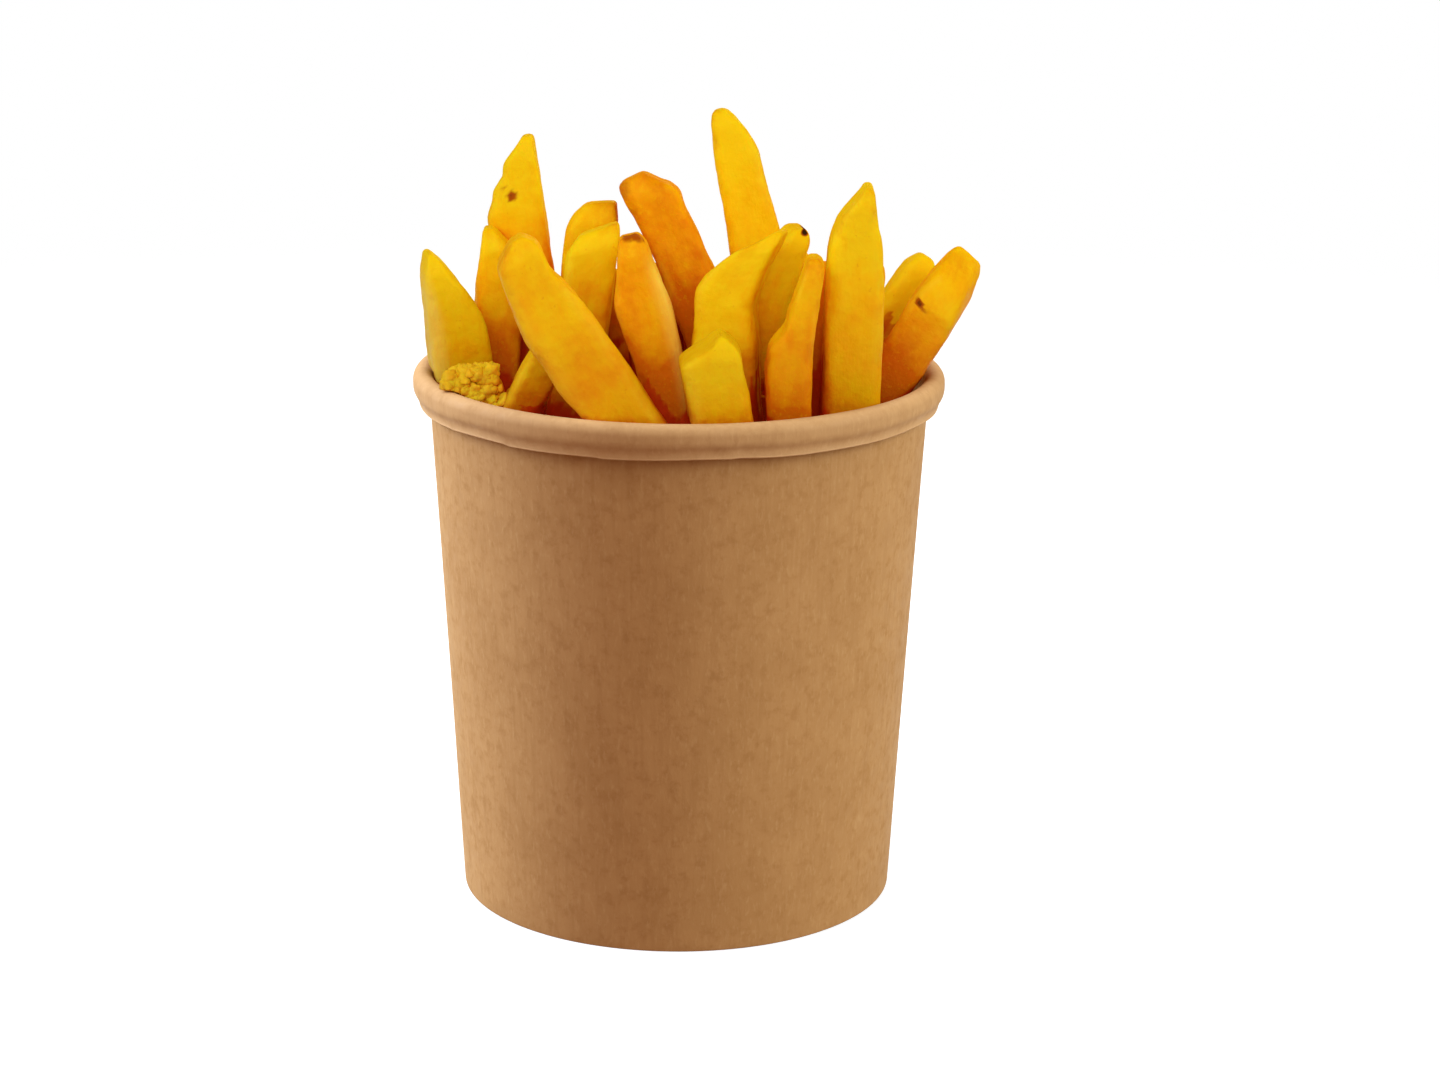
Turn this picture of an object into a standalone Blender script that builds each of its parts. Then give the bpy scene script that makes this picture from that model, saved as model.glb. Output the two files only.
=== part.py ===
"""A kraft paper tub of thick-cut fries: flared wall with a rolled rim, recessed base, heap of fries."""

import math
import random
from collections import namedtuple

import bmesh
import bpy
from mathutils import Vector

MM = 0.001

# Tub, in millimetres. The tub stands a little left of the origin, so that the whole object is centred.
TUB_X = -3.3
FOOT_RADIUS = 40.4
SHOULDER_RADIUS = 45.9
SHOULDER_HEIGHT = 93.2
RIM_RADIUS = 49.0
RIM_TOP = 99.5
ROLL_RADIUS = 2.0
CURL_RADIUS = 1.2
WALL = 0.6
WALL_RINGS = (30.0, 62.0)
HEM_TOP = 7.4
HEM_RADIUS = 39.1
HEM_ROUNDING = 0.3
BASE_LOW = 7.7
BASE_HIGH = 8.3
GAP = 0.3
COLUMNS = 90
ARC_STEPS = 3
MERGE = 0.001

# The heap
RIM_HEIGHT = 100.0
CORE_LOW = BASE_HIGH + GAP
CORE_TOP = 80.0
CORE_SIDES = 30
CORE_CLEARANCE = 1.0
PRESS_CLEARANCE = 0.45
ROOM_GAP = 0.35
ROOM_RADIUS = 75.0
ROOM_TOP = 170.0

# One fry
SIDES = 8
STATIONS = 7
STATION_SPREAD = 1.9
SQUARENESS = 3.6
CUT_CURVE = 1.8
END_TAPER = 4.0
END_THINNING = 0.3
END_ROUNDING = 0.7
SLANT_LENGTH = 14.0

# The fries that fill the rest of the tub
FILL_REACH = 39.0
FILL_SPACING = 9.4
FILL_FRONT = -20.0
FILL_BACK = 20.0
FILL_FRONT_TOP = 93.0
FILL_BACK_TOP = 105.0
FILL_TOP_SPREAD = 3.0
FILL_LENGTH = 40.0
FILL_WIDTH = (8.8, 10.4)
FILL_THICKNESS = (8.4, 9.6)
FILL_OUTWARD_LEAN = 0.003
FILL_LEAN_SPREAD = 0.05
FILL_TURN = 30.0
FILL_TRIES = 3000
FILL_SEED = 7

# at: x, y where the middle crosses rim height.  lean: x, y moved per millimetre of height.
# cut: left and right reach of the end as parts of the width, then the length each side is cut over.
# slant: how far the end slopes across the width and the thickness.  bow: sideways bend.  turn: degrees.
Fry = namedtuple("Fry", "at top lean length size cut slant bow turn", defaults=((0, 0), 0.0, 0.0))

FRONT_FRIES = (
    Fry((-40.2, -5.3), 121.9, (-0.04, -0.05), 66, (11.8, 9.6), (-0.49, -0.26, 3, 17)),
    Fry((-27.2, 12.3), 139.4, (-0.12, 0.04), 92, (10.4, 9.0), (0.16, 0.46, 13, 2)),
    Fry((-33.9, 3.7), 124.0, (0.06, 0.05), 70, (9.4, 9.0), (-0.44, 0.36, 3, 3), (0.25, 0)),
    Fry((-9.1, -37.7), 130.4, (-0.61, -0.04), 58, (12.0, 9.4), (-0.30, 0.36, 8, 3), bow=-2.4),
    Fry((-36.5, -17.9), 102.6, (-0.09, 0.17), 30, (11.6, 7.6), (-0.42, 0.40, 3, 3), turn=-18.0),
    Fry((-25.6, -24.4), 108.7, (0.44, -0.19), 36, (9.6, 9.0), (-0.42, 0.40, 2, 2)),
    Fry((-18.4, 3.7), 128.7, (0.09, 0.08), 84, (10.0, 9.4), (-0.40, 0.46, 4, 1.5), (-0.15, 0)),
    Fry((-18.9, -8.8), 125.7, (0.13, 0.07), 76, (10.2, 9.2), (-0.44, 0.46, 3, 1.5), (-0.6, 0)),
    Fry((-1.8, -21.9), 127.3, (-0.24, 0.03), 80, (10.4, 9.2), (-0.32, 0.32, 2, 3), bow=-1.0),
    Fry((9.7, 1.1), 134.1, (-0.49, 0.08), 90, (10.6, 9.6), (-0.46, 0.40, 2, 3), (0.42, 0)),
    Fry((18.0, 14.1), 144.5, (-0.21, 0.09), 104, (11.2, 9.0), (-0.28, 0.06, 6, 14)),
    Fry((13.1, -25.7), 125.9, (0.13, 0.06), 48, (10.8, 9.4), (-0.40, 0.44, 5, 3), bow=-6.0, turn=12.0),
    Fry((7.2, -38.2), 113.9, (-0.15, -0.10), 58, (11.0, 9.4), (-0.46, 0.38, 3, 4)),
    Fry((9.6, -15.0), 128.4, (0.34, 0.0), 80, (10.2, 9.0), (-0.30, 0.46, 4, 1.5), (-0.35, 0)),
    Fry((19.2, -33.1), 127.0, (0.05, -0.05), 74, (8.4, 8.6), (0.25, 0.46, 18, 2)),
    Fry((30.6, -23.7), 137.2, (0.0, -0.05), 100, (10.9, 9.6), (0.04, 0.28, 11, 14)),
    Fry((34.4, 2.6), 118.7, (0.62, 0.13), 62, (7.6, 8.2), (-0.30, 0.24, 3, 3)),
    Fry((39.0, -8.5), 120.7, (0.62, 0.0), 74, (9.8, 9.4), (-0.40, 0.44, 3, 4), (0.0, 0.7)),
    Fry((24.6, -12.0), 122.1, (0.0, -0.04), 76, (8.6, 9.0), (-0.36, 0.36, 3, 3)),
)
BLUNT = (-0.42, 0.40, 3, 2)
TALL_BACK_FRIES = (
    Fry((-4.0, 6.0), 117.0, (-0.06, 0.04), 60, (10.0, 9.2), BLUNT),
    Fry((20.0, 2.0), 121.0, (0.04, 0.05), 60, (9.6, 9.2), BLUNT),
    Fry((-15.0, 18.0), 117.0, (-0.06, 0.10), 60, (10.4, 9.2), BLUNT),
    Fry((-28.0, 25.0), 122.0, (-0.08, 0.08), 60, (9.8, 9.4), BLUNT),
    Fry((12.0, 34.0), 119.0, (0.06, 0.09), 60, (10.4, 9.4), BLUNT),
    Fry((33.0, 23.0), 114.0, (0.10, 0.09), 60, (9.6, 9.2), BLUNT),
)


def clear_scene():
    for obj in list(bpy.data.objects):
        bpy.data.objects.remove(obj, do_unlink=True)


def outer_radius(height):
    """Radius of the outside of the flared wall."""
    return FOOT_RADIUS + (SHOULDER_RADIUS - FOOT_RADIUS) * height / SHOULDER_HEIGHT


def inner_radius(height):
    return outer_radius(height) - WALL


def add_object(name, bm):
    """A new object from shapes drawn in millimetres about the tub's axis."""
    bmesh.ops.recalc_face_normals(bm, faces=bm.faces)
    bmesh.ops.scale(bm, vec=(MM, MM, MM), verts=bm.verts)
    bmesh.ops.translate(bm, vec=(TUB_X * MM, 0, 0), verts=bm.verts)
    mesh = bpy.data.meshes.new(name)
    bm.to_mesh(mesh)
    bm.free()
    obj = bpy.data.objects.new(name, mesh)
    bpy.context.scene.collection.objects.link(obj)
    return obj


def arc(centre, radius, start, end):
    """Points (radius, height) along an arc between two angles in degrees, measured from straight outwards."""
    points = []
    for step in range(ARC_STEPS + 1):
        angle = math.radians(start + (end - start) * step / ARC_STEPS)
        points.append((centre[0] + radius * math.cos(angle), centre[1] + radius * math.sin(angle)))
    return points


def inner_roll(gap):
    """The rounded inner edge of the rim, from the top down, or a curve that stays this gap clear of it."""
    middle = RIM_RADIUS - ROLL_RADIUS
    radius = middle - inner_radius(SHOULDER_HEIGHT)
    return arc((middle, RIM_TOP - radius), radius + gap, 90, 180)


def turned(name, section, sides):
    """Turns a closed section of (radius, height) points round the tub's axis."""
    bm = bmesh.new()
    points = [bm.verts.new((0, -radius, height)) for radius, height in section]
    edges = [bm.edges.new(pair) for pair in zip(points, points[1:] + points[:1])]
    bmesh.ops.spin(
        bm,
        geom=points + edges,
        axis=(0, 0, 1),
        cent=(0, 0, 0),
        angle=math.tau,
        steps=sides,
        use_duplicate=False,
    )
    bmesh.ops.remove_doubles(bm, verts=bm.verts, dist=MERGE)
    inner_edges = [edge for edge in bm.edges if not edge.link_faces]
    bmesh.ops.delete(bm, geom=inner_edges, context="EDGES")
    return add_object(name, bm)


def finish(obj, material_name, colour, roughness, sharp_degrees):
    material = bpy.data.materials.new(material_name)
    material.use_nodes = True
    shader = material.node_tree.nodes["Principled BSDF"]
    shader.inputs["Base Color"].default_value = (*colour, 1.0)
    shader.inputs["Roughness"].default_value = roughness
    obj.data.materials.clear()
    obj.data.materials.append(material)
    obj.data.shade_smooth()
    obj.data.set_sharp_from_angle(angle=math.radians(sharp_degrees))


# Tub


def make_wall():
    """The wall's section goes up the outside, over the rolled rim, down the inside and round the hem."""
    section = [
        (FOOT_RADIUS, HEM_ROUNDING),
        *[(outer_radius(height), height) for height in WALL_RINGS],
        (SHOULDER_RADIUS, SHOULDER_HEIGHT),
        *arc((RIM_RADIUS - CURL_RADIUS, SHOULDER_HEIGHT + CURL_RADIUS), CURL_RADIUS, -90, 0),
        *arc((RIM_RADIUS - ROLL_RADIUS, RIM_TOP - ROLL_RADIUS), ROLL_RADIUS, 0, 90),
        *inner_roll(0.0)[1:],
        *[(inner_radius(height), height) for height in reversed(WALL_RINGS)],
        (inner_radius(HEM_TOP), HEM_TOP),
        (HEM_RADIUS, HEM_TOP - HEM_ROUNDING),
        (HEM_RADIUS, HEM_ROUNDING),
        (HEM_RADIUS + HEM_ROUNDING, 0.0),
        (FOOT_RADIUS - HEM_ROUNDING, 0.0),
    ]
    wall = turned("tub_wall", section, COLUMNS)
    finish(wall, "kraft_wall", (0.50, 0.30, 0.15), 0.75, 38)


def make_base():
    radius = inner_radius(BASE_LOW) - ROOM_GAP
    section = [(0, BASE_LOW), (radius, BASE_LOW), (radius, BASE_HIGH), (0, BASE_HIGH)]
    base = turned("tub_base", section, COLUMNS)
    finish(base, "kraft_base", (0.46, 0.28, 0.14), 0.8, 38)


# Fries


def fill_fries():
    """Short fries wherever there is still room, low in front and higher towards the back."""
    draw = random.Random(FILL_SEED)
    standing = [fry.at for fry in FRONT_FRIES + TALL_BACK_FRIES]
    fries = []
    for _ in range(FILL_TRIES):
        reach = FILL_REACH * math.sqrt(draw.random())
        bearing = draw.uniform(0, math.tau)
        x = reach * math.cos(bearing)
        y = reach * math.sin(bearing)
        if min(math.dist((x, y), place) for place in standing) < FILL_SPACING:
            continue
        standing.append((x, y))
        behind = max(0.0, min(1.0, (y - FILL_FRONT) / (FILL_BACK - FILL_FRONT)))
        top = FILL_FRONT_TOP + (FILL_BACK_TOP - FILL_FRONT_TOP) * behind
        top += draw.uniform(-FILL_TOP_SPREAD, FILL_TOP_SPREAD)
        lean = [
            place * FILL_OUTWARD_LEAN + draw.uniform(-FILL_LEAN_SPREAD, FILL_LEAN_SPREAD) for place in (x, y)
        ]
        size = (draw.uniform(*FILL_WIDTH), draw.uniform(*FILL_THICKNESS))
        turn = draw.uniform(-FILL_TURN, FILL_TURN)
        fries.append(Fry((x, y), top, lean, FILL_LENGTH, size, BLUNT, turn=turn))
    return fries


def cross_section():
    """Points round a rounded square that reaches -1 to 1."""
    points = []
    for i in range(SIDES):
        turn = (i + 0.5) * math.tau / SIDES
        c = math.cos(turn)
        s = math.sin(turn)
        power = 2 / SQUARENESS
        points.append((math.copysign(abs(c) ** power, c), math.copysign(abs(s) ** power, s)))
    reach = max(x for x, _ in points)
    return [(x / reach, y / reach) for x, y in points]


def filled(along, length):
    """How full one side is at this distance from the end: 0 at the end, 1 once past the cut."""
    part = min(along / length, 1.0)
    return 1 - (1 - part) ** CUT_CURVE


def pressed(point):
    """The point moved in until it clears the inside of the wall."""
    reach = math.hypot(point.x, point.y)
    limit = inner_radius(point.z) - PRESS_CLEARANCE
    if reach > limit and point.z < RIM_TOP:
        point.x *= limit / reach
        point.y *= limit / reach
    return point


def fry_rings(fry):
    """Rings of points along the fry, from its tip down."""
    lean = Vector((*fry.lean, 1.0))
    tip = Vector((*fry.at, RIM_HEIGHT)) + lean * (fry.top - RIM_HEIGHT)
    down = -lean.normalized()
    foot = tip + down * fry.length
    square_across = down.cross(Vector((0, 1, 0))).normalized()
    square_front = down.cross(square_across)
    turn = math.radians(fry.turn)
    across = square_across * math.cos(turn) + square_front * math.sin(turn)
    front = square_front * math.cos(turn) - square_across * math.sin(turn)
    bend = (tip + foot) / 2 + across * 2 * fry.bow
    width, thickness = fry.size
    left_reach, right_reach, left_length, right_length = fry.cut
    rings = []
    for station in range(STATIONS):
        part = (station / (STATIONS - 1)) ** STATION_SPREAD
        along = part * fry.length
        middle = tip * (1 - part) ** 2 + bend * 2 * part * (1 - part) + foot * part**2
        left = -width / 2 + (left_reach + 0.5) * width * (1 - filled(along, left_length))
        right = width / 2 - (0.5 - right_reach) * width * (1 - filled(along, right_length))
        half = thickness / 2 * (1 - END_THINNING * (1 - filled(along, END_TAPER)))
        inset = END_ROUNDING if station in (0, STATIONS - 1) else 0.0
        sloping = max(0.0, 1 - along / SLANT_LENGTH)
        ring = []
        for x, y in cross_section():
            sideways = (left + right) / 2 + x * ((right - left) / 2 - inset)
            forward = y * (half - inset)
            shift = (fry.slant[0] * sideways + fry.slant[1] * forward) * sloping
            ring.append(pressed(middle + across * sideways + front * forward + down * shift))
        rings.append(ring)
    return rings


def make_fry(name, fry):
    bm = bmesh.new()
    loops = []
    for ring in fry_rings(fry):
        corners = [bm.verts.new(point) for point in ring]
        loops.append([bm.edges.new(pair) for pair in zip(corners, corners[1:] + corners[:1])])
    for upper, lower in zip(loops, loops[1:]):
        bmesh.ops.bridge_loops(bm, edges=upper + lower)
    for end in (loops[0], loops[-1]):
        bmesh.ops.edgeloop_fill(bm, edges=end)
    bmesh.ops.triangulate(bm, faces=bm.faces)
    return add_object(name, bm)


def keep_largest_shell(mesh):
    """Drops loose scraps and the skins of sealed hollows."""
    bm = bmesh.new()
    bm.from_mesh(mesh)
    bmesh.ops.triangulate(bm, faces=bm.faces)
    unseen = set(bm.faces)
    shells = []
    while unseen:
        waiting = [unseen.pop()]
        shell = []
        while waiting:
            face = waiting.pop()
            shell.append(face)
            touching = {other for edge in face.edges for other in edge.link_faces} & unseen
            unseen -= touching
            waiting += touching
        shells.append(shell)
    shells.sort(key=len)
    for shell in shells[:-1]:
        bmesh.ops.delete(bm, geom=shell, context="FACES")
    bm.to_mesh(mesh)
    bm.free()


def make_core():
    """The packed middle of the heap, hidden below the rim."""
    section = [
        (0, CORE_LOW),
        (inner_radius(CORE_LOW) - CORE_CLEARANCE, CORE_LOW),
        (inner_radius(CORE_TOP) - CORE_CLEARANCE, CORE_TOP),
        (0, CORE_TOP),
    ]
    return turned("fries", section, CORE_SIDES)


def make_room():
    """The space the heap may take up: clear of the inside of the wall and of the top of the rim."""
    section = [
        (0, BASE_HIGH),
        (inner_radius(BASE_HIGH) - ROOM_GAP, BASE_HIGH),
        *reversed(inner_roll(ROOM_GAP)),
        (ROOM_RADIUS, RIM_TOP + ROOM_GAP),
        (ROOM_RADIUS, ROOM_TOP),
        (0, ROOM_TOP),
    ]
    return turned("room", section, COLUMNS)


def make_heap():
    core = make_core()
    room = make_room()
    pieces = bpy.data.collections.new("pieces")
    bpy.context.scene.collection.children.link(pieces)
    fries = [*FRONT_FRIES, *TALL_BACK_FRIES, *fill_fries()]
    for number, fry in enumerate(fries):
        piece = make_fry(f"piece_{number}", fry)
        bpy.context.scene.collection.objects.unlink(piece)
        pieces.objects.link(piece)
    union = core.modifiers.new("union", "BOOLEAN")
    union.operation = "UNION"
    union.operand_type = "COLLECTION"
    union.collection = pieces
    trim = core.modifiers.new("trim", "BOOLEAN")
    trim.operation = "INTERSECT"
    trim.object = room
    graph = bpy.context.evaluated_depsgraph_get()
    core.data = bpy.data.meshes.new_from_object(core.evaluated_get(graph))
    core.modifiers.clear()
    for helper in [*pieces.objects, room]:
        bpy.data.objects.remove(helper, do_unlink=True)
    bpy.data.collections.remove(pieces)
    keep_largest_shell(core.data)
    finish(core, "fried_potato", (0.78, 0.46, 0.02), 0.45, 32)


clear_scene()
make_wall()
make_base()
make_heap()
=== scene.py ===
"""The look of a kraft paper tub of thick-cut fries: paper grain, rolled rim, each fry with its own cut."""

import math
import random
from collections import namedtuple

import bpy
import numpy as np
from mathutils import Matrix, Vector, noise
from mathutils.bvhtree import BVHTree


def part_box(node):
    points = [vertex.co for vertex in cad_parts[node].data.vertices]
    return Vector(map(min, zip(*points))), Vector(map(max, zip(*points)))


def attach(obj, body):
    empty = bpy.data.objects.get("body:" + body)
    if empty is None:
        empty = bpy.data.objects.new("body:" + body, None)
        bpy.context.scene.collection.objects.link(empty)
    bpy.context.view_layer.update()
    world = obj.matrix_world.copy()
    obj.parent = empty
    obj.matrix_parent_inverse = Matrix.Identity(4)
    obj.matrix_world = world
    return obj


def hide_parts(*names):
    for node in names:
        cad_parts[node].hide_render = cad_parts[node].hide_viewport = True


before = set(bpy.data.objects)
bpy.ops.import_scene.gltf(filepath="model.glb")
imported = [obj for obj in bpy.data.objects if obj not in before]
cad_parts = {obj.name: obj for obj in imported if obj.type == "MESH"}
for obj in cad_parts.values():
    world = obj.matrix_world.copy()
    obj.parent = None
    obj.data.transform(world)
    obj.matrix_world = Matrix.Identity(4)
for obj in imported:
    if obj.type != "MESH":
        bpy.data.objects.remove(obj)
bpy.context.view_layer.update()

MM = 0.001

# The tub, read from the frame and turned into millimetres about the tub's own axis
WALL_LOW, WALL_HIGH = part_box("tub_wall")
TUB_X = (WALL_LOW.x + WALL_HIGH.x) / 2 / MM
RIM_RADIUS = (WALL_HIGH.x - WALL_LOW.x) / 2 / MM
RIM_TOP = WALL_HIGH.z / MM
FOOT_RADIUS = 40.4
SHOULDER_RADIUS = 45.9
SHOULDER_HEIGHT = 93.2
WALL = 0.6
INSIDE_TOP = 97.0
HEM_TOP = 7.4
HEM_BOTTOM = 0.8
HEM_RADIUS = 39.1
FOLD_RADIUS = 0.3
WALL_COLUMNS = 432

# The rolled rim: a groove over the wall, the folded lip outside it, the bulge over that, and the rounded top
NECK_STEP = 0.04
NECK_RISE = 0.6
GROOVE_STEP = 0.1
GROOVE_RADIUS = 0.65
GROOVE_TOP = SHOULDER_HEIGHT + 2.4
LIP_FOLD = 0.22
LIP_RADIUS = RIM_RADIUS - 1.1
BULGE_RADIUS = 2.4
BULGE_RISE = 1.0
ROLL_RADIUS = 2.0

# The lap seam: bearing and width in degrees, its step outside and inside, and where it starts and ends
SEAM_BEARING = 168.0
SEAM_LAP = 10.0
SEAM_STEP = 0.45
SEAM_STEP_INSIDE = 0.25
SEAM_EDGE = 0.45
SEAM_FADE = (6.0, 45.0)
SEAM_FOOT = (1.0, 3.0)
SEAM_HEAD = (SHOULDER_HEIGHT + 3, RIM_TOP)
SEAM_FOOT_INSIDE = (12.0, 14.0)
SEAM_HEAD_INSIDE = (90.0, 97.0)

# Waves round the wall and the lip, as (how many, millimetres, phase), and the heights where the wall has them
WALL_WAVES = ((2, 0.18, 0.7), (5, 0.10, 2.1), (9, 0.05, 0.0))
LIP_WAVES = ((7, 0.14, 1.0), (13, 0.08, 0.0))
WAVES_START = (4.0, 40.0)
WAVES_CALM = (70.0, 92.0)

# Creases in the rim's lip, as (bearing in degrees, depth in millimetres, width in degrees)
CREASES = (
    (-39.0, -0.45, 9.0),
    (-16.5, -0.30, 7.0),
    (-58.0, -0.25, 8.0),
    (12.0, 0.22, 9.0),
    (120.0, -0.3, 9.0),
)
CREASE_EDGE = (-1.0, 0.6)
CREASE_PULL = 0.5

# How much paler the paper is: at its lip, a paler cut edge with painted highlight; on top of the rim, painted
# highlight; and over the roll
LIP_EDGE_AND_HIGHLIGHT = 0.35
RIM_TOP_HIGHLIGHT = 0.20
ROLL_PALER = 0.20

# The heap
RIM_HEIGHT = 100.0
PRESS_CLEARANCE = 0.45

# One fry: rings along it and points round each, for the ones that show well and for the ones behind
FINE = (84, 44)
COARSE = (46, 28)
STATION_SPREAD = 1.9
SQUARENESS = 6.5
SECTION_STEPS = 4001
CORNER_START = 0.62
CORNER_FULL = 0.86
END_TAPER = 4.0
END_THINNING = 0.6
END_ROUNDING = 0.9
END_INSET = 0.75
SLANT_LENGTH = 14.0
EDGE_SOFTNESS = 1.1
LEAST_HALF = 0.3
TONE_REACH = 28.0

# How a fry wanders along its length: by how much, and over how many millimetres
EDGE_WAVER = (0.22, 6)
DEPTH_WAVER = (0.06, 12)
TWIST = (0.10, 30)

# The rings that close a cut end, as (size, millimetres outward)
CAP_RINGS = ((0.88, 0.06), (0.70, 0.04), (0.50, 0.0), (0.28, -0.03), (0.05, -0.04))

# Lumps in the crust, as (height, size, shortening along the fry, seed)
LUMPS = ((0.24, 4.2, 0.5, 0), (0.12, 1.7, 1.0, 50), (0.09, 1.2, 0.12, 90))
FACE_SINKING = 0.22
CORNER_NIBBLE = 0.55
CRUMBLY_LUMPS = ((0.6, 2.8, 160), (0.3, 1.4, 165))
CRUMBLY_MIDDLE = 0.15
CRUMBLY_SHIFT = 0.30

# Browning along the edges, at the tip and in patches, and the unevenness of the tone
BROWN_EDGES = 0.22
BROWN_TIP = 0.4
BROWN_TIP_REACH = 1.8
BROWN_PATCHES = 0.45
TONE_PATCHES = 0.15
SPOT_RAGGEDNESS = 0.35
PALE_CORNERS = 0.07

# How a plain fry's end is cut: along its edges in millimetres, and across as shares of its half width
CUT_START = (-0.2, 0.75)
CUT_LENGTH = (2.5, 8.0)
CUT_BEND_PLACE = 0.45
CUT_BEND = (0.5, 0.8)
SHORT_CUT_START = 0.84
SHORT_CUT_LENGTH = (0.8, 3.0)
CUT_SLANT_ACROSS = (-0.2, 0.2)
CUT_SLANT_DEEP = (-0.6, 0.3)
# Tone paler at the tip and deeper at the foot: partly the fry's own colour, partly painted shade lower down.
PALER_TIP = 0.10
DEEPER_FOOT = 0.15

# The fries that fill the rest of the tub, drawn as in the solid heap
FILL_REACH = 39.0
FILL_SPACING = 9.4
FILL_FRONT = -20.0
FILL_BACK = 20.0
FILL_FRONT_TOP = 89.0
FILL_BACK_TOP = 105.0
FILL_TOP_SPREAD = 3.0
FILL_LENGTH = 40.0
FILL_WIDTH = (8.8, 10.4)
FILL_THICKNESS = (8.4, 9.6)
FILL_OUTWARD_LEAN = 0.003
FILL_LEAN_SPREAD = 0.05
FILL_TURN = 30.0
FILL_LEAST_TONE = 0.2
FILL_TONE_STEP = 0.05
FILL_TONES = 9
FILL_TRIES = 3000
FILL_SEED = 7

# at: x, y where the middle crosses rim height.  lean: x, y moved per millimetre of height.
# left, right: the two edges, as (distance from the tip, distance from the middle line) of their points.
# depth: from front to back.  slant: how far the end slopes across the width and the depth.
# bow: sideways bend.  turn: degrees.  rough: 1 is plain, more makes the crust ragged.
# tone: from 0, pale yellow, to 1, deep orange, at the tip and further down; the deeper tone further down is
# partly the fry's own colour and partly painted shade.
# pale: how much paler the left and the right side are, partly paler flesh and partly painted highlight on a
# lit side.  spots are described at their own type below.
Fry = namedtuple(
    "Fry",
    "at top lean length left right depth slant bow turn tone spots rough pale",
    defaults=((0, 0), 0.0, 0.0, (0.3, 0.45), (), 1.0, (0.0, 0.0)),
)
# A browned spot on the front: millimetres from the tip and across from the middle, radius, strength 0 to 1.
Spot = namedtuple("Spot", "along across radius strength")

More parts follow.
